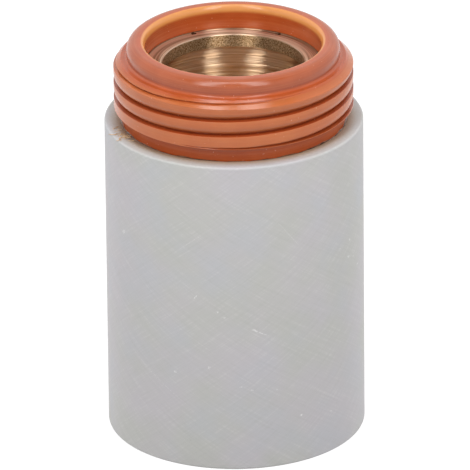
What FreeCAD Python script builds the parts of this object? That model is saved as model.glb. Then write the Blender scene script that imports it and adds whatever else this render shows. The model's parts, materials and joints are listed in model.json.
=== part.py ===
"""Front cap that holds the inner parts of a plasma torch, millimetres, +Z towards the front.

A grey glass-fibre tube is glued round a turned brass liner.  The liner screws onto the torch
with the thread at its rear, and its front lip holds the inner parts.  An orange insulator ring
is bonded round the front of the liner, and carries a coarse male thread for the outer shield.
The origin is the centre of the rear face, on which the cap stands.
"""
import FreeCAD, Part
import os

import Sketcher

SIZES = {
    # Glass-fibre tube
    "sleeve_outer_radius": 16.0,
    "sleeve_wall": 2.0,
    "sleeve_length": 40.8,
    "sleeve_edge_chamfer": 0.2,
    # Gaps between the pieces
    "glue_gap": 0.1,
    "bond_gap": 0.05,
    # Insulator, its heights counted up from the tube's front face
    "insulator_depth": 16.0,
    "insulator_foot_wall": 1.65,
    "neck_height": 1.85,
    "thread_length": 6.25,
    "undercut_height": 0.4,
    "undercut_step": 0.25,
    "lip_height": 1.7,
    "lip_step": 1.65,
    "lip_wall": 2.25,
    "lip_outer_chamfer": 0.5,
    "lip_inner_chamfer": 0.3,
    # Male thread on the insulator, its crest standing out from the neck
    "thread_crest_step": 0.9,
    "thread_depth": 0.75,
    "thread_pitch": 2.0,
    "thread_groove_width": 1.1,
    "thread_floor_width": 0.3,
    "thread_front_flank": 0.1,
    "thread_lead_chamfer": 0.45,
    "thread_land": 0.1,
    "thread_end_azimuth": 60.0,
    "thread_runout_turn": 0.28,
    "thread_runout_rise": 0.05,
    # Brass liner
    "liner_rear_recess": 1.0,
    "liner_wall": 1.2,
    "liner_front_recess": 3.0,
    "liner_lip_thickness": 1.6,
    "liner_lip_reach": 2.25,
    "opening_chamfer": 0.1,
    # Gas holes through the liner's front lip, set in from the insulator's lip
    "gas_hole_inset": 0.45,
    "gas_hole_radius": 0.35,
    "gas_hole_turn": -2.3,
    # Seat of the torch's thread at the liner's rear, at the crests of the female thread
    "torch_thread_step": 0.2,
    "torch_thread_length": 10.0,
    "torch_thread_lead_chamfer": 0.8,
    "relief_width": 2.5,
    "relief_step": 1.0,
}
GAS_HOLES = 6
CLEAR = "0.5"  # how far a cutter reaches into the open, millimetres

doc = FreeCAD.newDocument("retaining_cap")
sheet = doc.addObject("Spreadsheet::Sheet", "Sizes")
for row, (alias, number) in enumerate(SIZES.items(), start=1):
    sheet.set(f"A{row}", alias)
    sheet.set(f"B{row}", str(number))
    sheet.setAlias(f"B{row}", alias)
doc.recompute()

# Radii from the tube inwards and outwards, each a sum of sizes
SLEEVE_BORE = ("sleeve_outer_radius", "-sleeve_wall")
FIT_RADIUS = SLEEVE_BORE + ("-glue_gap",)
BOND_RADIUS = FIT_RADIUS + ("-insulator_foot_wall",)
LINER_RADIUS = BOND_RADIUS + ("-bond_gap",)
LINER_BORE = LINER_RADIUS + ("-liner_wall",)
OPENING_RADIUS = LINER_BORE + ("-liner_lip_reach",)
TORCH_CREST = LINER_BORE + ("torch_thread_step",)
THREAD_CREST = FIT_RADIUS + ("thread_crest_step",)
LIP_RADIUS = THREAD_CREST + ("-lip_step",)
MOUTH_RADIUS = LIP_RADIUS + ("-lip_wall",)
GAS_CIRCLE = MOUTH_RADIUS + ("-gas_hole_inset",)

# Heights from the rear face
SLEEVE_FRONT = ("sleeve_length",)
THREAD_SHOULDER = SLEEVE_FRONT + ("neck_height",)
THREAD_END = THREAD_SHOULDER + ("thread_length",)
LIP_FOOT = THREAD_END + ("undercut_height",)
CAP_FRONT = LIP_FOOT + ("lip_height",)
LINER_FRONT = CAP_FRONT + ("-liner_front_recess",)
LINER_SHOULDER = SLEEVE_FRONT + ("-insulator_depth", "-glue_gap")


def total(terms):
    """The value and the sheet expression of a sum; a leading minus subtracts its size."""
    value = 0.0
    text = "0 mm"
    for term in terms:
        name = term.lstrip("-")
        sign = "-" if term.startswith("-") else "+"
        number = SIZES[name] if name in SIZES else float(name)
        value += -number if sign == "-" else number
        text += f" {sign} Sizes.{name} * 1 mm" if name in SIZES else f" {sign} {name} mm"
    return value, text


def bind(feature, name, terms):
    """Sets one length of a feature, and binds it to the sheet."""
    value, text = total(terms)
    setattr(feature, name, value)
    feature.setExpression(name, text)


def make_body(label):
    body = doc.addObject("PartDesign::Body", label)
    body.Label = label
    return body


def origin_item(body, role):
    """One of the body's own origin planes or axes, found by its role."""
    return next(item for item in body.Origin.OriginFeatures if item.Role == role)


def sketch_on(body, name, role):
    sketch = body.newObject("Sketcher::SketchObject", name)
    sketch.AttachmentSupport = [(origin_item(body, role), "")]
    sketch.MapMode = "FlatFace"
    return sketch


def draw_outline(sketch, corners):
    """A closed outline of straight lines; each corner is a radius and a height, both sums."""
    places = [(total(radius), total(height)) for radius, height in corners]
    points = [FreeCAD.Vector(radius[0], height[0], 0) for radius, height in places]
    for start, end in zip(points, points[1:] + points[:1]):
        sketch.addGeometry(Part.LineSegment(start, end), False)
    for index in range(len(points)):
        following = (index + 1) % len(points)
        sketch.addConstraint(Sketcher.Constraint("Coincident", index, 2, following, 1))
    for index, place in enumerate(places):
        for kind, own_axis, (value, text) in zip(("DistanceX", "DistanceY"), (-2, -1), place):
            if abs(value) < 1e-9:
                sketch.addConstraint(Sketcher.Constraint("PointOnObject", index, 1, own_axis))
                continue
            number = sketch.addConstraint(Sketcher.Constraint(kind, -1, 1, index, 1, value))
            sketch.setExpression(f"Constraints[{number}]", text)


def section(body, name, corners):
    """A section of a turned piece, on the plane through its axis."""
    sketch = sketch_on(body, name, "XZ_Plane")
    draw_outline(sketch, corners)
    return sketch


def revolve(body, name, sketch):
    """A turned solid."""
    turned = body.newObject("PartDesign::Revolution", name)
    turned.Profile = sketch
    turned.ReferenceAxis = (sketch, ["V_Axis"])
    turned.Angle = 360.0
    doc.recompute()
    return turned


def round_edges(shape, radius, height):
    """Names of the circular edges of one radius at one height."""
    names = []
    for number, edge in enumerate(shape.Edges, start=1):
        curve = edge.Curve
        if not isinstance(curve, Part.Circle):
            continue
        if abs(curve.Radius - radius) < 1e-4 and abs(curve.Center.z - height) < 1e-4:
            names.append(f"Edge{number}")
    return names


def chamfer(body, name, base, radius, height, size):
    """Breaks the circular edge at one radius and height."""
    feature = body.newObject("PartDesign::Chamfer", name)
    feature.Base = (base, round_edges(base.Shape, total(radius)[0], total(height)[0]))
    bind(feature, "Size", (size,))
    doc.recompute()
    return feature


def make_sleeve():
    """Plain tube with its outer edges just broken."""
    body = make_body("outer_sleeve")
    outer = ("sleeve_outer_radius",)
    tube = revolve(body, "SleeveTube", section(body, "SleeveSection", [
        (SLEEVE_BORE, ()), (outer, ()), (outer, SLEEVE_FRONT), (SLEEVE_BORE, SLEEVE_FRONT)]))
    tube = chamfer(body, "FrontEdge", tube, outer, SLEEVE_FRONT, "sleeve_edge_chamfer")
    chamfer(body, "RearEdge", tube, outer, (), "sleeve_edge_chamfer")
    return body


def thread_groove(body, name):
    """The male thread's groove, on a plane turned from the cap's front side to its azimuth.

    It is a sawtooth: the flank that faces the front is nearly square to the axis, the flank
    that faces the rear slopes, and a narrow floor lies between them.
    """
    bottom = THREAD_SHOULDER + ("thread_land",)
    top = bottom + ("thread_groove_width",)
    floor_bottom = bottom + ("thread_front_flank",)
    floor_top = floor_bottom + ("thread_floor_width",)
    clear = THREAD_CREST + (CLEAR,)
    floor = THREAD_CREST + ("-thread_depth",)
    sketch = section(body, name, [
        (clear, bottom), (THREAD_CREST, bottom), (floor, floor_bottom), (floor, floor_top),
        (THREAD_CREST, top), (clear, top)])
    quarter = 90
    turn = FreeCAD.Rotation(FreeCAD.Vector(0, 1, 0), SIZES["thread_end_azimuth"] - quarter)
    sketch.AttachmentOffset = FreeCAD.Placement(FreeCAD.Vector(), turn)
    sketch.setExpression("AttachmentOffset.Rotation.Angle",
                         f"(Sizes.thread_end_azimuth - {quarter}) * 1 deg")
    return sketch


def cut_male_thread(body):
    """A right-hand groove up through the thread's end.

    Below it the cutter is withdrawn while it runs nearly level round the shoulder.
    """
    rising = thread_groove(body, "ThreadGroove")
    cut = body.newObject("PartDesign::SubtractiveHelix", "MaleThread")
    cut.Profile = rising
    cut.ReferenceAxis = (rising, ["V_Axis"])
    cut.Mode = "pitch-height-angle"
    bind(cut, "Pitch", ("thread_pitch",))
    bind(cut, "Height", ("thread_length", "-thread_land", CLEAR))
    doc.recompute()
    leaving = thread_groove(body, "RunoutGroove")
    runout = body.newObject("PartDesign::SubtractiveHelix", "ThreadRunout")
    runout.Profile = leaving
    runout.ReferenceAxis = (leaving, ["V_Axis"])
    runout.Mode = "height-turns-growth"
    runout.Reversed = True
    withdrawal = total(("thread_depth", CLEAR))[1]
    bind(runout, "Height", ("thread_runout_rise",))
    runout.setExpression("Turns", "Sizes.thread_runout_turn")
    runout.setExpression("Growth", f"({withdrawal}) / Sizes.thread_runout_turn")
    doc.recompute()


def make_insulator():
    """Insulator ring: a plain foot inside the tube, the male thread, and a raised front lip."""
    body = make_body("threaded_insulator")
    foot = SLEEVE_FRONT + ("-insulator_depth",)
    undercut = LIP_RADIUS + ("-undercut_step",)
    ring = revolve(body, "InsulatorRing", section(body, "InsulatorSection", [
        (BOND_RADIUS, foot), (FIT_RADIUS, foot), (FIT_RADIUS, THREAD_SHOULDER),
        (THREAD_CREST, THREAD_SHOULDER), (THREAD_CREST, THREAD_END), (undercut, THREAD_END),
        (undercut, LIP_FOOT), (LIP_RADIUS, LIP_FOOT), (LIP_RADIUS, CAP_FRONT),
        (MOUTH_RADIUS, CAP_FRONT), (MOUTH_RADIUS, LINER_FRONT), (BOND_RADIUS, LINER_FRONT)]))
    ring = chamfer(body, "ThreadLead", ring, THREAD_CREST, THREAD_END, "thread_lead_chamfer")
    ring = chamfer(body, "LipOutside", ring, LIP_RADIUS, CAP_FRONT, "lip_outer_chamfer")
    chamfer(body, "LipInside", ring, MOUTH_RADIUS, CAP_FRONT, "lip_inner_chamfer")
    cut_male_thread(body)
    return body


def cut_gas_holes(body):
    """Small holes straight through the front lip, evenly round it."""
    sketch = sketch_on(body, "GasHole", "XY_Plane")
    height, height_text = total(LINER_FRONT)
    turn = FreeCAD.Rotation(FreeCAD.Vector(0, 0, 1), SIZES["gas_hole_turn"])
    sketch.AttachmentOffset = FreeCAD.Placement(FreeCAD.Vector(0, 0, height), turn)
    sketch.setExpression("AttachmentOffset.Base.z", height_text)
    sketch.setExpression("AttachmentOffset.Rotation.Angle", "Sizes.gas_hole_turn * 1 deg")
    reach, reach_text = total(GAS_CIRCLE)
    radius, radius_text = total(("gas_hole_radius",))
    centre = FreeCAD.Vector(reach, 0, 0)
    sketch.addGeometry(Part.Circle(centre, FreeCAD.Vector(0, 0, 1), radius))
    sketch.addConstraint(Sketcher.Constraint("PointOnObject", 0, 3, -1))
    placed = sketch.addConstraint(Sketcher.Constraint("DistanceX", -1, 1, 0, 3, reach))
    sketch.setExpression(f"Constraints[{placed}]", reach_text)
    sized = sketch.addConstraint(Sketcher.Constraint("Radius", 0, radius))
    sketch.setExpression(f"Constraints[{sized}]", radius_text)
    hole = body.newObject("PartDesign::Pocket", "GasHoleCut")
    hole.Profile = sketch
    bind(hole, "Length", ("liner_lip_thickness", CLEAR))
    doc.recompute()
    holes = body.newObject("PartDesign::PolarPattern", "GasHoles")
    holes.Originals = [hole]
    holes.Axis = (origin_item(body, "Z_Axis"), [""])
    holes.Angle = 360.0
    holes.Occurrences = GAS_HOLES
    body.Tip = holes
    doc.recompute()


def make_liner():
    """Turned brass: the torch's thread seat at the rear, a plain bore, and the front lip."""
    body = make_body("brass_liner")
    rear = ("liner_rear_recess",)
    relief = TORCH_CREST + ("relief_step",)
    lip_back = LINER_FRONT + ("-liner_lip_thickness",)
    thread_top = rear + ("torch_thread_length",)
    relief_top = thread_top + ("relief_width",)
    turned = revolve(body, "LinerTurning", section(body, "LinerSection", [
        (TORCH_CREST, rear), (FIT_RADIUS, rear), (FIT_RADIUS, LINER_SHOULDER),
        (LINER_RADIUS, LINER_SHOULDER), (LINER_RADIUS, LINER_FRONT),
        (OPENING_RADIUS, LINER_FRONT), (OPENING_RADIUS, lip_back), (LINER_BORE, lip_back),
        (LINER_BORE, relief_top), (relief, relief_top), (relief, thread_top),
        (TORCH_CREST, thread_top)]))
    turned = chamfer(body, "TorchThreadLead", turned, TORCH_CREST, rear,
                     "torch_thread_lead_chamfer")
    chamfer(body, "OpeningEdge", turned, OPENING_RADIUS, LINER_FRONT, "opening_chamfer")
    cut_gas_holes(body)
    return body


bodies = [make_sleeve(), make_insulator(), make_liner()]
doc.recompute()
for item in doc.Objects:
    if "Invalid" in item.State or "Error" in item.State:
        raise RuntimeError(f"{item.Label} failed: {item.State}")
os.makedirs("parts", exist_ok=True)
for body in bodies:
    shape = body.Shape
    if shape.isNull() or not shape.isValid() or len(shape.Solids) != 1:
        raise RuntimeError(f"{body.Label} is not one valid solid")
    shape.exportStep(f"parts/{body.Label}.step")
    print(f"{body.Label}: {shape.Volume:.1f} mm3, {len(shape.Faces)} faces, "
          f"z {shape.BoundBox.ZMin:.2f} to {shape.BoundBox.ZMax:.2f}")
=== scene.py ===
"""Looks of the retaining cap: its finishes, its finely cut threads and the photograph's view.

Everything is in metres in the part's own frame; the sizes named below are in millimetres.
Azimuths are in degrees from the front (-Y), growing towards +X.
"""
import json
import math
import random

import bmesh
import bpy
from mathutils import Matrix, Vector, noise


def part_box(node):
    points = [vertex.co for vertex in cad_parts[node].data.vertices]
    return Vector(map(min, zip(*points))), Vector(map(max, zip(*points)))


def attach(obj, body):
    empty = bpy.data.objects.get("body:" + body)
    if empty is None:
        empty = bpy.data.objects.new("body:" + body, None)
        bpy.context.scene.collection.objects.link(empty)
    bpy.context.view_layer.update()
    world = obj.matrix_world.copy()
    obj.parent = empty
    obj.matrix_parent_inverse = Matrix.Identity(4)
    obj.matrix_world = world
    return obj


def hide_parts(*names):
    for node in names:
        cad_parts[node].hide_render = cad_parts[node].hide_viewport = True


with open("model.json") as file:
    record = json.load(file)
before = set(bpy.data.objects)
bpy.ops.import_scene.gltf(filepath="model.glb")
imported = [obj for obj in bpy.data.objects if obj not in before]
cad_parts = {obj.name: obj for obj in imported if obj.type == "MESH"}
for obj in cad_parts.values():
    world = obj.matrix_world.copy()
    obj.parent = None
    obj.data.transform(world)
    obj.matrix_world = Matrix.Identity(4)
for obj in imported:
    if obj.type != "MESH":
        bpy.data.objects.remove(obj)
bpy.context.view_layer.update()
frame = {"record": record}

MM = 0.001

# How finely a turned piece is divided round its axis, and where its edges look sharp
COLUMNS = 512
SHARP_DEGREES = 34
MERGE_METRES = 2e-7

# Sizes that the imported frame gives
MOUNTS = {mount["name"]: mount for mount in frame["record"]["mounts"]}


def mount_radius(name):
    return MOUNTS[name]["dims"]["r_mm"]


def node_top(node):
    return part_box(node)[1].z / MM


def node_bottom(node):
    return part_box(node)[0].z / MM


SLEEVE_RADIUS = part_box("outer_sleeve")[1].x / MM
SLEEVE_FRONT = node_top("outer_sleeve")
CAP_FRONT = node_top("threaded_insulator")
INSULATOR_FOOT = node_bottom("threaded_insulator")
LINER_FRONT = node_top("brass_liner")
LINER_REAR = node_bottom("brass_liner")
THREAD_CREST = mount_radius("shield_thread")
MOUTH_RADIUS = mount_radius("front_recess")
OPENING_RADIUS = mount_radius("nozzle_opening")
TORCH_CREST = mount_radius("torch_thread")

# Sizes of the sleeve
SLEEVE_WALL = 2.0
SLEEVE_BORE = SLEEVE_RADIUS - SLEEVE_WALL
GLUE_GAP = 0.1
FIT_RADIUS = SLEEVE_BORE - GLUE_GAP
SLEEVE_EDGE_ROUND = 0.3
SLEEVE_INNER_ROUND = 0.08
SLEEVE_CHIPS = 0.22

# Sizes of the insulator
BOND_RADIUS = 12.25
NECK_FILLET = 0.15
THREAD_SHOULDER = SLEEVE_FRONT + 1.85
THREAD_END = THREAD_SHOULDER + MOUNTS["shield_thread"]["dims"]["length_mm"]
LIP_RADIUS = 13.15
LIP_FILLET = 0.3
LIP_OUTER_ROUND = 1.1
LIP_INNER_ROUND = 0.5
LIP_INNER_DEPTH = 0.85

# The male thread: heights above a groove's lower edge, with depths below the crest
THREAD_PITCH = 2.0
GROOVE_DEPTH = 0.75
GROOVE_SHAPE = [
    (-0.03, 0.0), (0.0, 0.015), (0.03, 0.07), (0.085, 0.64), (0.11, 0.72), (0.15, GROOVE_DEPTH),
    (0.18, 0.73), (0.24, 0.61), (0.32, 0.45), (0.43, 0.31), (0.57, 0.19), (0.75, 0.09),
    (0.95, 0.03), (1.15, 0.0)]
GROOVE_START_AZIMUTH = 60.0
GROOVE_START_HEIGHT = THREAD_SHOULDER + 0.05
RUNOUT_DEGREES = 90.0
RUNOUT_RISE = 0.03
LEAD_CHAMFER = 0.9
SHOULDER_BREAK = 0.04

# The female thread at the liner's rear, its offsets and depths counted the same way
TORCH_PITCH = 1.5
TORCH_GROOVE_SHAPE = [(-0.6, 0.0), (-0.54, 0.05), (-0.14, 0.76), (-0.06, 0.8),
                      (0.06, 0.8), (0.14, 0.76), (0.54, 0.05), (0.6, 0.0)]
TORCH_THREAD_TOP = LINER_REAR + 10.0
TORCH_LEAD = 0.8
RELIEF_TOP = TORCH_THREAD_TOP + 2.5
RELIEF_RADIUS = TORCH_CREST + 1.0
RELIEF_CHAMFER = 0.3

# The liner's other sizes
LINER_BORE = 11.0
LINER_RADIUS = BOND_RADIUS - 0.05
LINER_SHOULDER = INSULATOR_FOOT - GLUE_GAP
LINER_CHAMFER = 0.15
BORE_CORNER = 0.3
LIP_THICKNESS = 1.6
OPENING_EDGE = 0.12
GAS_HOLES = 6
GAS_CIRCLE = MOUTH_RADIUS - 0.45
GAS_HOLE_RADIUS = 0.35
GAS_HOLE_TURN = -2.3
GAS_HOLE_SIDES = 28
GAS_GROOVE_HALF_WIDTH = 0.28
GAS_GROOVE_DEPTH = 0.06
GAS_GROOVE_FLANK = 0.04

# Scuffs on the tube's side: azimuth, height, length, width, tilt in degrees and strength,
# and a strength for all of them
SCUFF_STRENGTH = 0.7
PALE_SCUFF = (0.85, 0.85, 0.84)
PALE_MARKS = [
    (-59, 29.0, 1.1, 0.7, 20, 0.6), (62, 27.3, 0.5, 0.5, 0, 0.8), (54, 26.9, 0.9, 0.3, 30, 0.5),
    (61, 25.1, 1.1, 0.5, -20, 0.6), (66, 24.6, 0.6, 0.4, 10, 0.5), (71, 23.0, 0.8, 0.4, 0, 0.5),
    (-18, 23.2, 1.0, 0.22, 50, 0.9), (-8, 21.4, 0.4, 0.4, 0, 0.7), (-5, 20.7, 0.4, 0.3, 0, 0.6),
    (10.7, 18.5, 3.0, 0.16, -24, 0.8), (8.4, 18.9, 0.9, 0.3, -24, 0.9),
    (-12, 13.8, 0.5, 0.5, 0, 1.0), (-28, 12.6, 0.5, 0.5, 0, 0.9), (2, 11.3, 0.5, 0.3, 20, 0.8),
    (7, 10.8, 0.5, 0.3, 0, 0.7), (18, 10.5, 0.5, 0.3, 0, 0.6), (30, 6.4, 0.6, 0.4, 0, 0.8),
    (47, 5.6, 0.5, 0.4, 0, 0.6), (-38, 11.2, 13.0, 0.14, -33, 0.4),
    (-20, 30.5, 6.0, 0.12, 38, 0.35), (25, 31.0, 9.0, 0.12, -52, 0.3)]
DARK_SCUFF = (0.22, 0.21, 0.20)
DARK_MARKS = [(51, 6.2, 0.5, 0.3, 0, 0.5), (-21, 3.6, 0.4, 0.3, 0, 0.5)]

# Dried glue: what is left of it at the joint and beside it
GLUE_TOP = SLEEVE_FRONT - 0.02
GLUE_DEPTH = 0.3
GLUE_EDGE = 0.05
GLUE_SWELL = 0.16
GLUE_RIPPLE = 0.05
SHREDS = 30
SHRED_SEED = 7
SHRED_AZIMUTH = -67
SHRED_AZIMUTH_SPREAD = 4
SHRED_RADII = (14.2, 15.6)
SHRED_STEPS = (0.08, 0.3)
SHRED_THICKNESSES = (0.02, 0.045)
SHRED_RINGS = 6
SHRED_SIDES = 6

# Colours of the insulator, in pairs where they vary from place to place
# Painted shade: a deeper colour below the crests, in the neck and inside the lip, with CREST as
# the lit copy
CUT_IN_SHADE = ((0.37, 0.062, 0.012), (0.42, 0.077, 0.017))
CREST = ((0.45, 0.115, 0.035), (0.49, 0.136, 0.042))
LEDGE = (0.38, 0.085, 0.016)
LIP_WALL = ((0.33, 0.070, 0.023), (0.37, 0.083, 0.029))
# Painted shade: the lip wall's darker foot
LIP_FOOT_SHADE = (0.24, 0.040, 0.012)
# Painted highlight: the bright amber band on the lip's inner edge
AMBER_EDGE_HIGHLIGHT = (0.66, 0.27, 0.075)
# Painted shade: the dark colour of the thread's upward-facing steps
GROOVE_STEP_SHADE = (0.27, 0.042, 0.009)
TOOL_LINE = (0.60, 0.20, 0.07)
TOOL_LINE_SHORTNESS = 0.6
PALE_GRIT = (0.78, 0.50, 0.34)

# Colours of the liner, of its rings, whose strong contrast on the face is partly a painted
# reflection, and of the blasted lip
FACE_RINGS_AND_SHEEN = ((0.34, 0.20, 0.11), (0.80, 0.62, 0.46))
BORE_RINGS = ((0.68, 0.44, 0.25), (0.82, 0.60, 0.40))
# Painted shade: the brass face's corner at the foot of the insulator's inner wall
CORNER_SHADE = (0.22, 0.11, 0.05)
BLASTED = ((0.24, 0.13, 0.05), (0.62, 0.43, 0.25))

# How far the liner's turned lines tilt its surface, round it and, in the bore, along it
LINE_SWAY = 0.16
LINE_FLANK_LOW = -0.38
LINE_FLANK_RANGE = 1.2

# The tube's two sets of fibres: how far they lean round it, and features for each metre
FIBRES = ((1.5, 2100), (-1.3, 3000))
FIBRE_SHORTNESS = 0.14

# Colours of the tube, its fibres and its stains, and of the dried glue
TUBE_WARM = ((0.445, 0.445, 0.425), (0.465, 0.445, 0.465))
TUBE_COOL = (0.435, 0.445, 0.475)
PALE_FIBRE = (0.60, 0.59, 0.58)
DARK_FIBRE = (0.37, 0.37, 0.35)
# Partly stain, partly painted shade beside the joint
WARM_STAIN_AND_SHADE = (0.34, 0.25, 0.16)
BROWN_STAIN = (0.20, 0.14, 0.09)
GLUE = ((0.06, 0.028, 0.014), (0.16, 0.075, 0.04))
SHRED_TAN = ((0.48, 0.28, 0.13), (0.66, 0.50, 0.32))

# The photograph's view: angles in degrees, distances in metres, the lens in millimetres
CAMERA_ELEVATION = 24.21
CAMERA_ROLL = 0.57
CAMERA_DISTANCE = 1.2326
CAMERA_TARGET = Vector((0.0, 0.0, 0.024664))
CAMERA_LENS = 760.2

# Strength of the surrounding light from the sides, from the back and from above
LIGHT_SIDES = 1.9
LIGHT_BACK = 1.0
LIGHT_ABOVE = 0.1

# The two strip lights: their azimuths and elevation, sizes in metres and power in watts
STRIPS = (("left strip", -31), ("right strip", 29))
STRIP_ELEVATION = 50
STRIP_DISTANCE = 0.7
STRIP_WIDTH = 0.2
STRIP_HEIGHT = 0.8
STRIP_POWER = 3.2
LIT_POINT = Vector((0.0, 0.0, 0.04))

# The dark card behind them, its sizes in metres
CARD_ELEVATION = 60
CARD_DISTANCE = 0.9
CARD_HALF_WIDTH = 0.8
CARD_HALF_HEIGHT = 0.48
CARD_GREY = 0.02

# The floor: its half width in metres, its grey, and how it glows as seen and onto the cap
FLOOR_HALF = 3.0
FLOOR_GREY = 0.30
FLOOR_GLOW = 0.78
FLOOR_GLOW_ON_CAP = 0.1


def place(azimuth, radius, height):
    """A point in the part's frame, from an azimuth in degrees and two sizes in millimetres."""
    turn = math.radians(azimuth)
    return Vector((radius * math.sin(turn), -radius * math.cos(turn), height)) * MM


def arc(centre_radius, centre_height, size, start, stop, steps=6, tall=None):
    """Outline points round a centre, from one angle to another, 0 outwards and 90 upwards."""
    points = []
    for step in range(steps + 1):
        turn = math.radians(start + (stop - start) * step / steps)
        points.append((centre_radius + size * math.cos(turn),
                       centre_height + (tall or size) * math.sin(turn)))
    return points


def finish_mesh(name, built, material):
    """Turns a bmesh into a smooth-shaded object whose real edges stay sharp."""
    bmesh.ops.recalc_face_normals(built, faces=built.faces)
    data = bpy.data.meshes.new(name)
    built.to_mesh(data)
    built.free()
    for face in data.polygons:
        face.use_smooth = True
    data.set_sharp_from_angle(angle=math.radians(SHARP_DEGREES))
    piece = bpy.data.objects.new(name, data)
    bpy.context.scene.collection.objects.link(piece)
    data.materials.append(material)
    return piece


def lathe(name, outline_at, material, first=0.0):
    """A turned piece; outline_at(azimuth) gives its closed outline there, radius and height."""
    built = bmesh.new()
    rows = []
    for column in range(COLUMNS + 1):
        azimuth = first + 360 * column / COLUMNS
        rows.append([built.verts.new(place(azimuth, radius, height))
                     for radius, height in outline_at(azimuth)])
    for left, right in zip(rows, rows[1:]):
        for index in range(len(left)):
            following = (index + 1) % len(left)
            built.faces.new((left[index], right[index], right[following], left[following]))
    bmesh.ops.remove_doubles(built, verts=built.verts, dist=MERGE_METRES)
    return finish_mesh(name, built, material)


def depth_of(shape, offset):
    """How deep a groove is at an offset from the height that its shape counts from."""
    for (low, low_depth), (high, high_depth) in zip(shape, shape[1:]):
        if low <= offset <= high:
            return low_depth + (high_depth - low_depth) * (offset - low) / (high - low)
    return 0.0


def thread_zone(grooves, shape, bottom, top, wall_at, outward, marks):
    """Outline points up a thread's zone, in order of height.

    grooves are pairs of a height, from which the shape counts, and how far the cut was
    withdrawn; wall_at gives the uncut wall; outward is 1 where the grooves deepen outwards
    and -1 where they deepen inwards.
    """
    heights = list(marks)
    for level, withdrawn in grooves:
        heights += [min(max(level + offset, bottom), top) for offset, depth in shape]
    points = []
    for height in sorted(heights):
        depth = max(depth_of(shape, height - level) - withdrawn for level, withdrawn in grooves)
        cut = (THREAD_CREST if outward < 0 else TORCH_CREST) + outward * max(depth, 0.0)
        wall = wall_at(height)
        points.append((min(wall, cut) if outward < 0 else max(wall, cut), height))
    return points


def thread_wall(height):
    """The male thread's uncut wall: a broken shoulder edge and a lead chamfer."""
    below = max(THREAD_SHOULDER + SHOULDER_BREAK - height, 0.0)
    above = max(height - (THREAD_END - LEAD_CHAMFER), 0.0)
    return THREAD_CREST - below - above


def male_grooves(azimuth):
    """Each groove's lower edge at an azimuth, and how far the cutter was withdrawn there."""
    grooves = []
    for turn in range(-1, 4):
        travel = azimuth - GROOVE_START_AZIMUTH + 360 * turn
        rise = THREAD_PITCH * travel / 360
        if travel < 0:
            rise = RUNOUT_RISE * travel / RUNOUT_DEGREES
        withdrawn = GROOVE_DEPTH * max(-travel, 0.0) / RUNOUT_DEGREES
        grooves.append((GROOVE_START_HEIGHT + rise, withdrawn))
    return grooves


def insulator_outline(azimuth):
    marks = [THREAD_SHOULDER, THREAD_SHOULDER + SHOULDER_BREAK]
    marks += [THREAD_END - LEAD_CHAMFER * step / 4 for step in range(5)]
    outline = [(BOND_RADIUS, INSULATOR_FOOT), (FIT_RADIUS, INSULATOR_FOOT)]
    outline += arc(FIT_RADIUS + NECK_FILLET, THREAD_SHOULDER - NECK_FILLET, NECK_FILLET,
                   180, 90, 4)
    outline += thread_zone(male_grooves(azimuth), GROOVE_SHAPE, THREAD_SHOULDER, THREAD_END,
                           thread_wall, -1, marks)
    outline += arc(LIP_RADIUS + LIP_FILLET, THREAD_END + LIP_FILLET, LIP_FILLET, 270, 180, 8)
    outline += arc(LIP_RADIUS - LIP_OUTER_ROUND, CAP_FRONT - LIP_OUTER_ROUND,
                   LIP_OUTER_ROUND, 0, 90, 14)
    outline += arc(MOUTH_RADIUS + LIP_INNER_ROUND, CAP_FRONT - LIP_INNER_DEPTH,
                   LIP_INNER_ROUND, 90, 180, 10, LIP_INNER_DEPTH)
    outline += [(MOUTH_RADIUS, LINER_FRONT), (BOND_RADIUS, LINER_FRONT)]
    return outline


def torch_wall(height):
    """The female thread's uncut wall, with a lead chamfer at the rear face."""
    return TORCH_CREST + max(LINER_REAR + TORCH_LEAD - height, 0.0)


def liner_outline(azimuth):
    grooves = [(LINER_REAR + TORCH_PITCH * (turn + azimuth / 360), 0.0)
               for turn in range(-1, 8)]
    marks = [LINER_REAR, LINER_REAR + TORCH_LEAD, TORCH_THREAD_TOP]
    lip_back = LINER_FRONT - LIP_THICKNESS
    groove_inside = GAS_CIRCLE - GAS_GROOVE_HALF_WIDTH
    groove_outside = GAS_CIRCLE + GAS_GROOVE_HALF_WIDTH
    outline = thread_zone(grooves, TORCH_GROOVE_SHAPE, LINER_REAR, TORCH_THREAD_TOP,
                          torch_wall, 1, marks)
    outline += [(RELIEF_RADIUS, TORCH_THREAD_TOP), (RELIEF_RADIUS, RELIEF_TOP - RELIEF_CHAMFER),
                (RELIEF_RADIUS - RELIEF_CHAMFER, RELIEF_TOP), (LINER_BORE, RELIEF_TOP)]
    outline += arc(LINER_BORE - BORE_CORNER, lip_back - BORE_CORNER, BORE_CORNER, 0, 90, 5)
    outline += [(OPENING_RADIUS, lip_back)]
    outline += arc(OPENING_RADIUS + OPENING_EDGE, LINER_FRONT - OPENING_EDGE, OPENING_EDGE,
                   180, 90, 6)
    outline += [(groove_inside - GAS_GROOVE_FLANK, LINER_FRONT),
                (groove_inside, LINER_FRONT - GAS_GROOVE_DEPTH),
                (groove_outside, LINER_FRONT - GAS_GROOVE_DEPTH),
                (groove_outside + GAS_GROOVE_FLANK, LINER_FRONT)]
    outline += [(LINER_RADIUS, LINER_FRONT), (LINER_RADIUS, LINER_SHOULDER),
                (FIT_RADIUS, LINER_SHOULDER), (FIT_RADIUS, LINER_REAR + LINER_CHAMFER),
                (FIT_RADIUS - LINER_CHAMFER, LINER_REAR)]
    return outline


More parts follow.
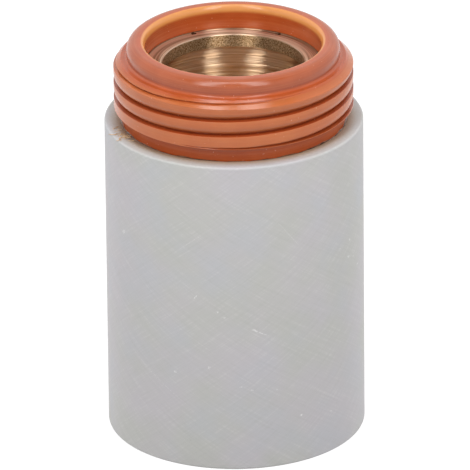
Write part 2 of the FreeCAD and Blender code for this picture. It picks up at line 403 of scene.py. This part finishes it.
def cut_gas_holes(liner, inside):
    """Bores the small holes through the front lip, painted dark inside as shade."""
    built = bmesh.new()
    middle = LINER_FRONT - LIP_THICKNESS / 2
    for hole in range(GAS_HOLES):
        centre = place(90 + GAS_HOLE_TURN + 360 * hole / GAS_HOLES, GAS_CIRCLE, middle)
        bmesh.ops.create_cone(built, cap_ends=True, segments=GAS_HOLE_SIDES,
                              radius1=GAS_HOLE_RADIUS * MM, radius2=GAS_HOLE_RADIUS * MM,
                              depth=2 * LIP_THICKNESS * MM, matrix=Matrix.Translation(centre))
    data = bpy.data.meshes.new("drill")
    built.to_mesh(data)
    built.free()
    data.materials.append(inside)
    drill = bpy.data.objects.new("drill", data)
    bpy.context.scene.collection.objects.link(drill)
    cut = liner.modifiers.new("gas holes", "BOOLEAN")
    cut.operation = "DIFFERENCE"
    cut.solver = "EXACT"
    cut.material_mode = "TRANSFER"
    cut.object = drill
    graph = bpy.context.evaluated_depsgraph_get()
    bored = bpy.data.meshes.new_from_object(liner.evaluated_get(graph))
    liner.modifiers.clear()
    liner.data = bored
    bpy.data.objects.remove(drill)


def sleeve_outline(azimuth):
    """The tube, its inner front edge slightly ragged where the laminate was cut."""
    around = place(azimuth, 9.0, 0.0) / MM
    chip = max(noise.noise(around * 1.7) - 0.15, 0.0) * SLEEVE_CHIPS
    inner = SLEEVE_INNER_ROUND + chip
    outline = [(SLEEVE_BORE, 0.0)]
    outline += arc(SLEEVE_RADIUS - SLEEVE_EDGE_ROUND, SLEEVE_EDGE_ROUND, SLEEVE_EDGE_ROUND,
                   270, 360, 5)
    outline += arc(SLEEVE_RADIUS - SLEEVE_EDGE_ROUND, SLEEVE_FRONT - SLEEVE_EDGE_ROUND,
                   SLEEVE_EDGE_ROUND, 0, 90, 5)
    outline += arc(SLEEVE_BORE + inner, SLEEVE_FRONT - inner, inner, 90, 180, 4)
    return outline


def glue_outline(azimuth):
    """The glue in the gap round the neck, standing a little higher in places."""
    around = place(azimuth, 9.0, 5.0) / MM
    swell = GLUE_SWELL * noise.noise(around * 0.9)
    ripple = GLUE_RIPPLE * noise.noise(around * 4.0)
    top = GLUE_TOP + swell + ripple
    outside = SLEEVE_BORE + GLUE_EDGE
    return [(FIT_RADIUS, top - GLUE_DEPTH), (outside, top - GLUE_DEPTH),
            (outside, top - GLUE_EDGE), (FIT_RADIUS + GLUE_EDGE, top),
            (FIT_RADIUS, top + GLUE_EDGE)]


def add_shred(built, dice):
    """One thin curled shred of dried glue, lying on the tube's front face."""
    azimuth = dice.gauss(SHRED_AZIMUTH, SHRED_AZIMUTH_SPREAD)
    radius = dice.uniform(*SHRED_RADII)
    heading, curl = dice.uniform(0, math.tau), dice.uniform(-1.0, 1.0)
    step, thickness = dice.uniform(*SHRED_STEPS), dice.uniform(*SHRED_THICKNESSES)
    point = place(azimuth, radius, SLEEVE_FRONT + thickness)
    rings = []
    for index in range(SHRED_RINGS):
        ahead = Vector((math.cos(heading), math.sin(heading), 0.0))
        beside = Vector((-ahead.y, ahead.x, 0.0))
        width = thickness * (0.4 if index in (0, SHRED_RINGS - 1) else 1.0)
        ring = []
        for corner in range(SHRED_SIDES):
            turn = math.tau * corner / SHRED_SIDES
            out = beside * math.cos(turn) + Vector((0.0, 0.0, 1.0)) * math.sin(turn)
            ring.append(built.verts.new(point + out * width * MM))
        rings.append(ring)
        heading += curl * dice.uniform(0.2, 0.9)
        point = point + ahead * step * MM
    for first, second in zip(rings, rings[1:]):
        for corner in range(SHRED_SIDES):
            beyond = (corner + 1) % SHRED_SIDES
            built.faces.new((first[corner], first[beyond], second[beyond], second[corner]))
    built.faces.new(rings[0])
    built.faces.new(rings[-1])


def build_shreds(material):
    dice = random.Random(SHRED_SEED)
    built = bmesh.new()
    for shred in range(SHREDS):
        add_shred(built, dice)
    return finish_mesh("glue_shreds", built, material)


class Finish:
    """A material whose colour, roughness and bump are worked out from the place on the part."""

    def __init__(self, name):
        self.material = bpy.data.materials.new(name)
        self.material.use_nodes = True
        self.tree = self.material.node_tree
        self.shader = self.tree.nodes["Principled BSDF"]
        self.place = self.node("ShaderNodeTexCoord").outputs["Object"]
        split = self.node("ShaderNodeSeparateXYZ", Vector=self.place)
        self.x, self.y, self.z = split.outputs
        self.level = self.node("ShaderNodeCombineXYZ", X=self.x, Y=self.y).outputs[0]
        self.radius = self.vector("LENGTH", self.level)

    def give(self, socket, value):
        """Links another socket to this one, or sets it to a plain value."""
        if isinstance(value, bpy.types.NodeSocket):
            self.tree.links.new(value, socket)
        else:
            socket.default_value = value

    def node(self, kind, **inputs):
        made = self.tree.nodes.new(kind)
        for name, value in inputs.items():
            self.give(made.inputs[name.replace("_", " ")], value)
        return made

    def math(self, operation, *values):
        made = self.node("ShaderNodeMath")
        made.operation = operation
        for socket, value in zip(made.inputs, values):
            self.give(socket, value)
        return made.outputs[0]

    def vector(self, operation, *values):
        made = self.node("ShaderNodeVectorMath")
        made.operation = operation
        for socket, value in zip(made.inputs, values):
            self.give(socket, value)
        single = operation in ("LENGTH", "DOT_PRODUCT")
        return made.outputs["Value"] if single else made.outputs[0]

    def scaled(self, vector, amount):
        """A vector times a number or a socket."""
        made = self.node("ShaderNodeVectorMath")
        made.operation = "SCALE"
        self.give(made.inputs[0], vector)
        self.give(made.inputs["Scale"], amount)
        return made.outputs[0]

    def outwards(self):
        """The direction away from the axis, level and one long."""
        return self.vector("NORMALIZE", self.level)

    def ramp(self, value, low, high, low_result=0.0, high_result=1.0):
        """Runs smoothly from one result to the other as the value goes from low to high."""
        made = self.node("ShaderNodeMapRange")
        made.interpolation_type = "SMOOTHSTEP"
        self.tree.links.new(value, made.inputs["Value"])
        for name, number in zip(("From Min", "From Max", "To Min", "To Max"),
                                (low, high, low_result, high_result)):
            made.inputs[name].default_value = number
        return made.outputs["Result"]

    def noise(self, place, scale, detail=2.0, roughness=0.5):
        """Noise from 0 to 1, its scale in features for each metre."""
        made = self.node("ShaderNodeTexNoise", Vector=place, Scale=scale, Detail=detail,
                         Roughness=roughness)
        return made.outputs["Fac"]

    def turned(self, scale, detail=2.0):
        """Noise drawn out round the axis, as a cutting tool leaves it."""
        drawn = self.scaled(self.outwards(), TOOL_LINE_SHORTNESS)
        split = self.node("ShaderNodeSeparateXYZ", Vector=drawn)
        feed = self.math("MULTIPLY", self.math("SUBTRACT", self.z, self.radius), scale)
        place_round = self.node("ShaderNodeCombineXYZ", X=split.outputs[0], Y=split.outputs[1],
                                Z=feed)
        return self.noise(place_round.outputs[0], 1.0, detail)

    def band(self, value, low, high, soft):
        """1 between two values in millimetres and 0 outside them, with soft edges."""
        low, high, soft = low * MM, high * MM, soft * MM
        rising = self.ramp(value, low - soft, low + soft)
        falling = self.ramp(value, high - soft, high + soft, 1.0, 0.0)
        return self.math("MULTIPLY", rising, falling)

    def toward(self, azimuth, degrees):
        """1 at an azimuth, falling smoothly to 0 so many degrees away from it."""
        along = self.vector("DOT_PRODUCT", self.outwards(), place(azimuth, 1.0, 0.0) / MM)
        return self.ramp(along, math.cos(math.radians(degrees)), 1.0)

    def mark(self, unrolled, azimuth, height, length, width, tilt):
        """A soft elongated spot on the unrolled side, its sizes in millimetres."""
        where = (SLEEVE_RADIUS * math.radians(azimuth) * MM, height * MM, 0.0)
        made = self.node("ShaderNodeMapping", Vector=unrolled, Location=where,
                         Rotation=(0.0, 0.0, math.radians(tilt)),
                         Scale=(length * MM / 2, width * MM / 2, 1.0))
        made.vector_type = "TEXTURE"
        return self.ramp(self.vector("LENGTH", made.outputs[0]), 0.1, 1.1, 1.0, 0.0)

    def mix(self, share, first, second):
        """A colour between two, each a socket or red, green and blue."""
        made = self.node("ShaderNodeMix")
        made.data_type = "RGBA"
        for name, value in (("Factor", share), ("A", first), ("B", second)):
            socket = next(item for item in made.inputs if item.name == name and (
                item.type == "RGBA" or name == "Factor") and item.enabled)
            self.give(socket, (*value, 1.0) if isinstance(value, tuple) else value)
        return next(item for item in made.outputs if item.type == "RGBA")

    def bump(self, height, reach):
        """Raises the surface by the height, 1 standing for the reach in metres."""
        made = self.node("ShaderNodeBump", Height=height, Distance=reach, Strength=1.0)
        return made.outputs["Normal"]

    def use(self, **sockets):
        for name, value in sockets.items():
            self.give(self.shader.inputs[name.replace("_", " ")], value)


def orange_finish():
    """Machined phenolic: glossy, deep red-brown below the crests as painted shade, paler on them.

    The thin inner edge of the lip is painted bright amber, a painted highlight.
    """
    finish = Finish("machined phenolic")
    cloud = finish.noise(finish.place, 260, 3.0)
    lines = finish.turned(7000)
    root = THREAD_CREST - GROOVE_DEPTH
    # Painted shade: below the crests the colour turns deeper, where shade falls
    crest = finish.ramp(finish.radius, (root - 0.05) * MM, (root + 0.3) * MM)
    wall = finish.math("MULTIPLY", finish.band(finish.radius, LIP_RADIUS - 1.2,
                                               LIP_RADIUS + 1, 0.3),
                       finish.ramp(finish.z, (THREAD_END + 0.1) * MM, (THREAD_END + 0.5) * MM))
    # Painted highlight: the lip's thin inner edge is painted bright amber
    mouth_highlight = finish.math("MULTIPLY", finish.band(finish.radius, MOUTH_RADIUS - 0.3,
                                                MOUTH_RADIUS + 0.45, 0.15),
                        finish.ramp(finish.z, (CAP_FRONT - 1.1) * MM, (CAP_FRONT - 0.6) * MM))
    # Painted shade: the thread's upward-facing steps are darkened, as the slope above keeps light
    # off them
    facing = finish.node("ShaderNodeNewGeometry").outputs["Normal"]
    upward = finish.ramp(finish.node("ShaderNodeSeparateXYZ", Vector=facing).outputs[2], 0.3, 0.8)
    step = finish.math("MULTIPLY", upward,
                       finish.band(finish.z, THREAD_SHOULDER, THREAD_END - 1.0, 0.2))
    # Painted shade: the lip's outer wall darkens towards its foot
    foot_shade = finish.band(finish.z, THREAD_END + 0.25, THREAD_END + 0.6, 0.35)
    patch = finish.ramp(cloud, 0.3, 0.7)
    shaded_deep = finish.mix(patch, *CUT_IN_SHADE)
    pale = finish.mix(patch, *CREST)
    ledge = finish.ramp(finish.z, (THREAD_END - 0.9) * MM, (THREAD_END - 0.1) * MM, 0.2, 0.9)
    pale = finish.mix(ledge, pale, LEDGE)
    smooth = finish.mix(patch, *LIP_WALL)
    smooth = finish.mix(finish.math("MULTIPLY", foot_shade, 0.7), smooth, LIP_FOOT_SHADE)
    colour = finish.mix(crest, shaded_deep, pale)
    colour = finish.mix(wall, colour, smooth)
    colour = finish.mix(mouth_highlight, colour, AMBER_EDGE_HIGHLIGHT)
    colour = finish.mix(step, colour, GROOVE_STEP_SHADE)
    colour = finish.mix(finish.ramp(lines, 0.35, 0.8, 0.0, 0.16), colour, TOOL_LINE)
    grit = finish.noise(finish.place, 4200, 1.0)
    colour = finish.mix(finish.ramp(grit, 0.75, 0.80, 0.0, 0.5), colour, PALE_GRIT)
    roughness = finish.ramp(finish.noise(finish.place, 900, 3.0), 0.3, 0.7, 0.19, 0.27)
    finish.use(Base_Color=colour, Roughness=roughness, Specular_IOR_Level=0.5,
               Normal=finish.bump(lines, 1.5e-6))
    return finish.material


def brass_finish():
    """Turned brass: fine rings on the face and in the bore, and a blasted lip.

    The bore's turned lines have flanks that face up or down by chance, and that smear a
    reflection along the bore, while it stays narrow round the bore.
    """
    finish = Finish("turned brass")
    fine = finish.turned(9000)
    coarse = finish.turned(2600)
    rings = finish.math("ADD", fine, finish.math("MULTIPLY", coarse, 0.7))
    grain = finish.noise(finish.place, 6500, 2.0, 0.7)
    lip_back = (LINER_FRONT - LIP_THICKNESS - 0.1) * MM
    edge = (LINER_FRONT - OPENING_EDGE) * MM
    on_lip = finish.math("MULTIPLY", finish.ramp(finish.z, lip_back, lip_back + 1e-4),
                         finish.ramp(finish.z, edge, edge + 1e-4, 1.0, 0.0))
    near = OPENING_RADIUS * MM
    on_lip = finish.math("MULTIPLY", on_lip,
                         finish.ramp(finish.radius, near + 1e-4, near + 3e-4, 1.0, 0.0))
    on_front = finish.ramp(finish.z, lip_back, lip_back + 2e-4)
    # Turned rings on the face, their bright and dark contrast partly a painted reflection
    ridges = finish.ramp(finish.turned(4200, 1.0), 0.38, 0.62)
    face = finish.mix(ridges, *FACE_RINGS_AND_SHEEN)
    bore = finish.mix(finish.ramp(rings, 0.65, 1.05), *BORE_RINGS)
    colour = finish.mix(on_front, bore, face)
    # Painted shade: the brass face darkens in its corner against the insulator's wall
    foot_shade = finish.ramp(finish.radius, (MOUTH_RADIUS - 0.22) * MM, (MOUTH_RADIUS - 0.12) * MM)
    colour = finish.mix(finish.math("MULTIPLY", foot_shade, on_front), colour, CORNER_SHADE)
    blasted = finish.mix(finish.ramp(grain, 0.40, 0.62), *BLASTED)
    colour = finish.mix(on_lip, colour, blasted)
    height = finish.mix(on_lip, rings, grain)
    roughness = finish.ramp(on_lip, 0.0, 1.0, 0.30, 0.5)
    around = finish.node("ShaderNodeTangent")
    around.direction_type = "RADIAL"
    around.axis = "Z"
    uneven = finish.math("SUBTRACT", finish.turned(8000, 1.0), 0.5)
    sway = finish.scaled(around.outputs[0], finish.math("MULTIPLY", uneven, LINE_SWAY))
    flank = finish.math("MULTIPLY_ADD", finish.turned(22000, 1.0), LINE_FLANK_RANGE,
                        LINE_FLANK_LOW)
    flank = finish.math("MULTIPLY", flank, finish.math("SUBTRACT", 1.0, on_front))
    rise = finish.node("ShaderNodeCombineXYZ", Z=flank).outputs[0]
    normal = finish.vector("ADD", finish.vector("ADD", finish.bump(height, 1e-5), sway), rise)
    normal = finish.vector("NORMALIZE", normal)
    finish.use(Base_Color=colour, Metallic=1.0, Roughness=roughness, Anisotropic=1.0,
               Anisotropic_Rotation=0.25, Tangent=around.outputs[0], Normal=normal)
    return finish.material


def sleeve_finish():
    """Ground glass-fibre laminate: matt grey, faintly mottled, with fine crossing fibres.

    The cut front face is stained brown and painted darker towards the joint as shade, with grit on
    one side.
    """
    finish = Finish("glass-fibre laminate")
    broad = finish.noise(finish.place, 110, 2.0)
    other = finish.noise(finish.vector("ADD", finish.place, (0.3, 0.1, 0.2)), 150, 2.0)
    colour = finish.mix(finish.ramp(broad, 0.3, 0.7), *TUBE_WARM)
    colour = finish.mix(finish.ramp(other, 0.45, 0.75, 0.0, 0.6), colour, TUBE_COOL)
    fibres = None
    for lean, fineness in FIBRES:
        twist = finish.math("MULTIPLY", finish.z, lean / (SLEEVE_RADIUS * MM))
        turned = finish.node("ShaderNodeVectorRotate", Vector=finish.place, Angle=twist)
        turned.rotation_type = "Z_AXIS"
        drawn = finish.vector("MULTIPLY", turned.outputs[0], (1.0, 1.0, FIBRE_SHORTNESS))
        strand = finish.noise(drawn, fineness, 3.0, 0.65)
        fibres = strand if fibres is None else finish.math("ADD", fibres, strand)
    colour = finish.mix(finish.ramp(fibres, 1.02, 1.35, 0.0, 0.34), colour, PALE_FIBRE)
    colour = finish.mix(finish.ramp(fibres, 0.98, 0.70, 0.0, 0.26), colour, DARK_FIBRE)
    colour = add_scuffs(finish, colour)
    colour = add_stain(finish, colour)
    finish.use(Base_Color=colour, Roughness=0.5, Normal=finish.bump(fibres, 5e-6))
    return finish.material


def add_scuffs(finish, colour):
    """Small pale scratches, pits and dark spots on the tube's side."""
    angle = finish.math("ARCTAN2", finish.x, finish.math("MULTIPLY", finish.y, -1.0))
    along = finish.math("MULTIPLY", angle, SLEEVE_RADIUS * MM)
    unrolled = finish.node("ShaderNodeCombineXYZ", X=along, Y=finish.z).outputs[0]
    broken = finish.ramp(finish.noise(unrolled, 5200, 1.0), 0.42, 0.56)
    for tone, marks in ((PALE_SCUFF, PALE_MARKS), (DARK_SCUFF, DARK_MARKS)):
        for azimuth, height, length, width, tilt, strength in marks:
            spot = finish.mark(unrolled, azimuth, height, length, width, tilt)
            share = finish.math("MULTIPLY", spot, strength * SCUFF_STRENGTH)
            colour = finish.mix(finish.math("MULTIPLY", share, broken), colour, tone)
    return colour


def add_stain(finish, colour):
    """Brown staining and grit on the cut front face, with painted shade that darkens it towards
    the joint.
    """
    front = finish.ramp(finish.z, (SLEEVE_FRONT - 0.16) * MM, (SLEEVE_FRONT - 0.03) * MM)
    rough = finish.noise(finish.place, 3600, 3.0, 0.7)
    uneven = finish.math("MULTIPLY", finish.math("SUBTRACT", rough, 0.5), 0.9 * MM)
    reach = finish.math("ADD", finish.radius, uneven)
    # Partly stain, partly painted shade: darker towards the joint
    warm_stain_and_shade = finish.ramp(reach, SLEEVE_BORE * MM, (SLEEVE_RADIUS - 0.2) * MM, 0.9, 0.0)
    colour = finish.mix(finish.math("MULTIPLY", front, warm_stain_and_shade), colour, WARM_STAIN_AND_SHADE)
    side = finish.toward(-50, 40)
    brown = finish.ramp(reach, SLEEVE_BORE * MM, (SLEEVE_BORE + 1.2) * MM, 0.8, 0.0)
    share = finish.math("MULTIPLY", front, finish.math("MULTIPLY", brown, side))
    return finish.mix(share, colour, BROWN_STAIN)


def glue_and_hole_shade_finish(name):
    """Dark glue dried in the joint; inside the gas holes the same dark colour is painted shade."""
    finish = Finish(name)
    cloud = finish.noise(finish.place, 1400, 2.0)
    colour = finish.mix(finish.ramp(cloud, 0.35, 0.65), *GLUE)
    finish.use(Base_Color=colour, Roughness=0.22, Normal=finish.bump(cloud, 2e-5))
    return finish.material


def shred_finish():
    """Tan shreds of dried glue and fibre."""
    finish = Finish("dry shreds")
    cloud = finish.noise(finish.place, 2600, 2.0)
    colour = finish.mix(finish.ramp(cloud, 0.3, 0.7), *SHRED_TAN)
    finish.use(Base_Color=colour, Roughness=0.5, Normal=finish.bump(cloud, 1e-5))
    return finish.material


def build_camera():
    """The photograph's view: a long lens, a little above the cap."""
    elevation, roll = math.radians(CAMERA_ELEVATION), math.radians(CAMERA_ROLL)
    back = Vector((0.0, -math.cos(elevation), math.sin(elevation)))
    data = bpy.data.cameras.new("view")
    data.lens = CAMERA_LENS
    data.sensor_width = 36.0
    data.clip_end = 10.0
    camera = bpy.data.objects.new("view", data)
    camera.rotation_mode = "QUATERNION"
    camera.location = CAMERA_TARGET + back * CAMERA_DISTANCE
    level = (-back).to_track_quat("-Z", "Y")
    camera.rotation_quaternion = level @ Matrix.Rotation(-roll, 3, "Z").to_quaternion()
    bpy.context.scene.collection.objects.link(camera)
    bpy.context.scene.camera = camera


def strip_light(name, azimuth):
    """A tall strip light beside the camera, turned to the top of the cap."""
    turn, rise = math.radians(azimuth), math.radians(STRIP_ELEVATION)
    away = Vector((math.sin(turn) * math.cos(rise), -math.cos(turn) * math.cos(rise),
                   math.sin(rise)))
    data = bpy.data.lights.new(name, "AREA")
    data.shape = "RECTANGLE"
    data.size, data.size_y = STRIP_WIDTH, STRIP_HEIGHT
    data.energy = STRIP_POWER
    lamp = bpy.data.objects.new(name, data)
    lamp.rotation_mode = "QUATERNION"
    lamp.location = LIT_POINT + away * STRIP_DISTANCE
    lamp.rotation_quaternion = (-away).to_track_quat("-Z", "Y")
    bpy.context.scene.collection.objects.link(lamp)


def white_where_seen(tree, plain):
    """Adds a switch from a plain strength, a socket, to white for what a camera or mirror sees."""
    path = tree.nodes.new("ShaderNodeLightPath")
    seen = path.outputs["Is Camera Ray"]
    for name in ("Is Glossy Ray", "Is Transmission Ray"):
        either = tree.nodes.new("ShaderNodeMath")
        either.operation = "MAXIMUM"
        tree.links.new(seen, either.inputs[0])
        tree.links.new(path.outputs[name], either.inputs[1])
        seen = either.outputs[0]
    spread = tree.nodes.new("ShaderNodeMapRange")
    tree.links.new(seen, spread.inputs["Value"])
    tree.links.new(plain, spread.inputs["To Min"])
    spread.inputs["To Max"].default_value = 1.0
    return spread.outputs["Result"]


def studio_light(tree):
    """A studio's light by direction: mostly from the sides and the back, none from the front."""
    direction = tree.nodes.new("ShaderNodeTexCoord").outputs["Generated"]
    weighted = tree.nodes.new("ShaderNodeVectorMath")
    weighted.operation = "MULTIPLY"
    tree.links.new(direction, weighted.inputs[0])
    tree.links.new(direction, weighted.inputs[1])
    total = tree.nodes.new("ShaderNodeMath")
    parts = ((weighted.outputs[0], (LIGHT_SIDES, LIGHT_BACK / 2, LIGHT_ABOVE)),
             (direction, (0.0, LIGHT_BACK / 2, 0.0)))
    for socket, (source, weights) in zip(total.inputs, parts):
        share = tree.nodes.new("ShaderNodeVectorMath")
        share.operation = "DOT_PRODUCT"
        tree.links.new(source, share.inputs[0])
        share.inputs[1].default_value = weights
        tree.links.new(share.outputs["Value"], socket)
    return total.outputs[0]


def build_world():
    world = bpy.data.worlds.new("studio")
    world.use_nodes = True
    bpy.context.scene.world = world
    background = world.node_tree.nodes["Background"]
    background.inputs["Color"].default_value = (1.0, 1.0, 1.0, 1.0)
    strength = white_where_seen(world.node_tree, studio_light(world.node_tree))
    world.node_tree.links.new(strength, background.inputs["Strength"])


def flat_panel(name, half_width, half_height, material_name, grey):
    """A flat panel with a matt grey material."""
    data = bpy.data.meshes.new(name)
    corners = [(-half_width, -half_height, 0), (half_width, -half_height, 0),
               (half_width, half_height, 0), (-half_width, half_height, 0)]
    data.from_pydata(corners, [], [(0, 1, 2, 3)])
    panel = bpy.data.objects.new(name, data)
    bpy.context.scene.collection.objects.link(panel)
    material = bpy.data.materials.new(material_name)
    material.use_nodes = True
    shader = material.node_tree.nodes["Principled BSDF"]
    shader.inputs["Base Color"].default_value = (grey, grey, grey, 1.0)
    shader.inputs["Roughness"].default_value = 1.0
    data.materials.append(material)
    return panel


def build_floor():
    """A white floor that keeps a faint shadow of the cap and is dark inside the tube."""
    floor = flat_panel("floor", FLOOR_HALF, FLOOR_HALF, "floor white", FLOOR_GREY)
    tree = floor.data.materials[0].node_tree
    shader = tree.nodes["Principled BSDF"]
    shader.inputs["Specular IOR Level"].default_value = 0.0
    shader.inputs["Emission Color"].default_value = (1.0, 1.0, 1.0, 1.0)
    path = tree.nodes.new("ShaderNodeLightPath")
    lit = tree.nodes.new("ShaderNodeMapRange")
    tree.links.new(path.outputs["Is Diffuse Ray"], lit.inputs["Value"])
    lit.inputs["To Min"].default_value = FLOOR_GLOW
    lit.inputs["To Max"].default_value = FLOOR_GLOW_ON_CAP
    where = tree.nodes.new("ShaderNodeVectorMath")
    where.operation = "LENGTH"
    tree.links.new(tree.nodes.new("ShaderNodeTexCoord").outputs["Object"], where.inputs[0])
    beside = tree.nodes.new("ShaderNodeMath")
    beside.operation = "GREATER_THAN"
    beside.inputs[1].default_value = SLEEVE_BORE * MM
    tree.links.new(where.outputs["Value"], beside.inputs[0])
    strength = tree.nodes.new("ShaderNodeMath")
    strength.operation = "MULTIPLY"
    tree.links.new(lit.outputs["Result"], strength.inputs[0])
    tree.links.new(beside.outputs[0], strength.inputs[1])
    tree.links.new(strength.outputs[0], shader.inputs["Emission Strength"])


def build_card():
    """A dark card behind the strip lights, out of the picture, which the gloss mirrors."""
    card = flat_panel("dark_card", CARD_HALF_WIDTH, CARD_HALF_HEIGHT, "black cloth", CARD_GREY)
    rise = math.radians(CARD_ELEVATION)
    away = Vector((0.0, -math.cos(rise), math.sin(rise)))
    card.rotation_mode = "QUATERNION"
    card.location = LIT_POINT + away * CARD_DISTANCE
    card.rotation_quaternion = (-away).to_track_quat("Z", "Y")
    card.visible_camera = False


def build_pieces():
    sleeve = lathe("laminate_tube", sleeve_outline, sleeve_finish())
    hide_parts("outer_sleeve")
    insulator = lathe("insulator_ring", insulator_outline, orange_finish(),
                      GROOVE_START_AZIMUTH)
    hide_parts("threaded_insulator")
    liner = lathe("liner_turning", liner_outline, brass_finish())
    # The gas holes are painted dark inside, as shade
    cut_gas_holes(liner, glue_and_hole_shade_finish("sooty bore"))
    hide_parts("brass_liner")
    bead = lathe("glue_line", glue_outline, glue_and_hole_shade_finish("dried glue"))
    shreds = build_shreds(shred_finish())
    for piece in (sleeve, insulator, liner, bead, shreds):
        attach(piece, "root")


build_camera()
build_world()
build_floor()
build_card()
for strip, strip_azimuth in STRIPS:
    strip_light(strip, strip_azimuth)
build_pieces()
bpy.context.scene.view_settings.view_transform = "Standard"
